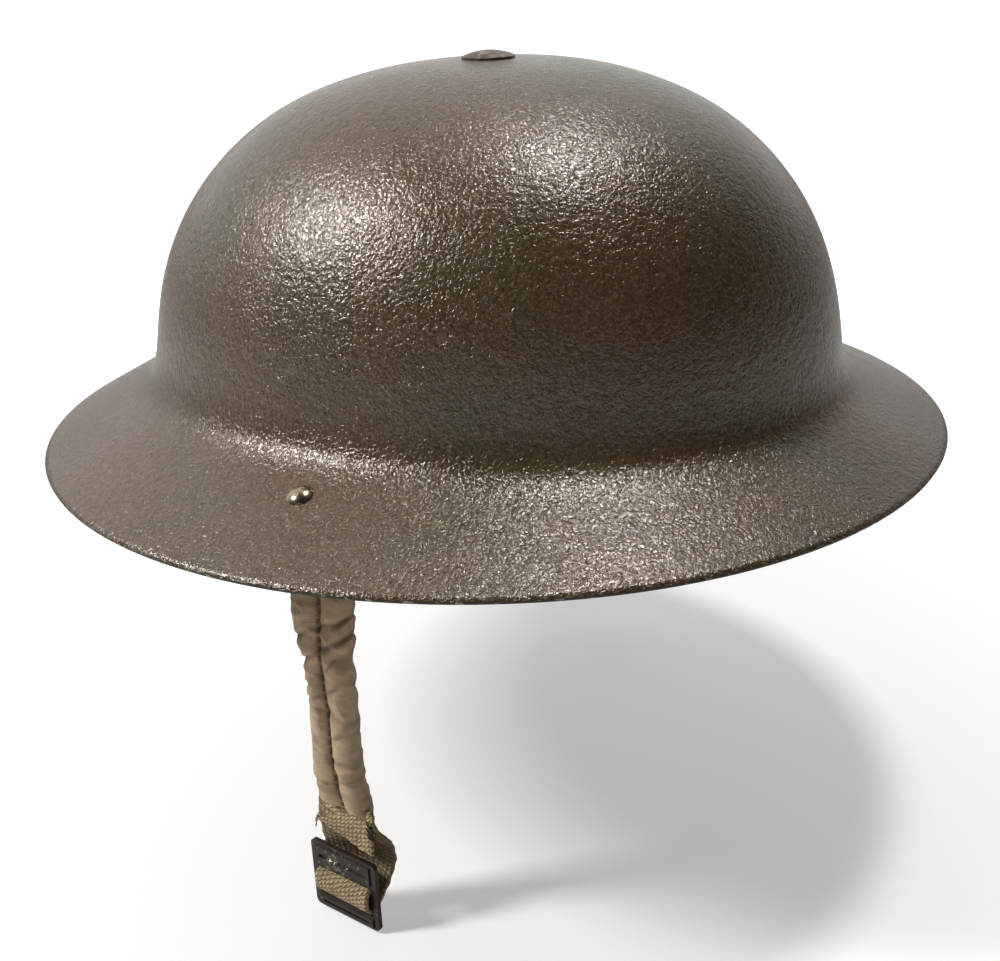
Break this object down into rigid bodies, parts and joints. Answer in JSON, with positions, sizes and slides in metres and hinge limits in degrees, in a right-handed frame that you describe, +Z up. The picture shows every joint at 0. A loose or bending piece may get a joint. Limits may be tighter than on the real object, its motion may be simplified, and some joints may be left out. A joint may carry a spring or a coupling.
{
  "type": "steel helmet with chin strap",
  "caption": "Wide-brimmed steel helmet with a domed crown, riveted liner and sprung cotton chin strap with a slide buckle.",
  "frame": {"origin": "centre of the brim's edge, level with the upper corner of the steel, in the middle of the head opening", "axes": "+Z up through the crown, -Y to the wearer's front, +X to the wearer's left"},
  "size_m": [0.292, 0.305, 0.2556],
  "materials": {
    "shell_paint": "rough, sanded semi-gloss",
    "painted_steel": "matt",
    "worn_brass": "worn",
    "plain_steel": "satin",
    "black_steel": "worn black",
    "black_rubber": "matt",
    "grey_rubber": "matt",
    "fibre": "waxed fibre",
    "felt": "felted",
    "leathercloth": "grained",
    "cotton": "braided",
    "twill": "twill",
    "webbing": "woven"
  },
  "bodies": {
    "helmet": {"shell": "shell_paint", "crown_screw": "worn_brass", "crown_washer": "black_rubber", "plate_washer": "plain_steel", "crown_nut": "plain_steel", "liner_hoop": "fibre", "rubber_buffers": "black_rubber", "buffer_rivets": "plain_steel", "long_strap": "fibre", "cross_strap": "fibre", "strap_rivets": "plain_steel", "felt_band": "felt", "headband": "leathercloth", "lining_tongues": "leathercloth", "lining_lace": "cotton", "crown_pad": "grey_rubber", "lug_left": "painted_steel", "lug_right": "painted_steel", "lug_rivet_left": "worn_brass", "lug_rivet_right": "worn_brass"},
    "bail_left": {"bail_left": "black_steel"},
    "bail_right": {"bail_right": "black_steel"},
    "strap_left": {"strap_tape_left": "webbing", "sleeve_left": "twill", "springs_left": "plain_steel"},
    "strap_right": {"strap_tape_right": "webbing", "sleeve_right": "twill", "springs_right": "plain_steel"},
    "webbing_left": {"webbing_left": "webbing", "tail_tip": "worn_brass"},
    "webbing_right": {"webbing_right": "webbing"},
    "buckle": {"buckle": "black_steel"}
  },
  "joints": [
    {"name": "bail_left_swing", "type": "hinge", "parent": "helmet", "child": "bail_left", "pos_m": [0.10723, 0, 0.01113], "axis": [0, 1, 0], "range_deg": [-45, 60]},
    {"name": "strap_left_swing", "type": "hinge", "parent": "bail_left", "child": "strap_left", "pos_m": [0.10723, 0, 0.00013], "axis": [0, 1, 0], "range_deg": [-20, 20]},
    {"name": "strap_left_stretch", "type": "slide", "parent": "strap_left", "child": "webbing_left", "axis": [0, 0, -1], "range_m": [0, 0.02], "stiffness_N_per_m": 400, "deforming": ["sleeve_left", "springs_left"]},
    {"name": "bail_right_swing", "type": "hinge", "parent": "helmet", "child": "bail_right", "pos_m": [-0.10723, 0, 0.01113], "axis": [0, 1, 0], "range_deg": [-60, 45]},
    {"name": "strap_right_swing", "type": "hinge", "parent": "bail_right", "child": "strap_right", "pos_m": [-0.10723, 0, 0.00013], "axis": [0, 1, 0], "range_deg": [-20, 20]},
    {"name": "strap_right_stretch", "type": "slide", "parent": "strap_right", "child": "webbing_right", "axis": [0, 0, -1], "range_m": [0, 0.02], "stiffness_N_per_m": 400, "deforming": ["sleeve_right", "springs_right"]},
    {"name": "buckle_tilt", "type": "hinge", "parent": "webbing_right", "child": "buckle", "pos_m": [-0.11068, 0.00061, -0.12547], "axis": [-0.1736, -0.9848, 0], "range_deg": [0, 20]}
  ]
}
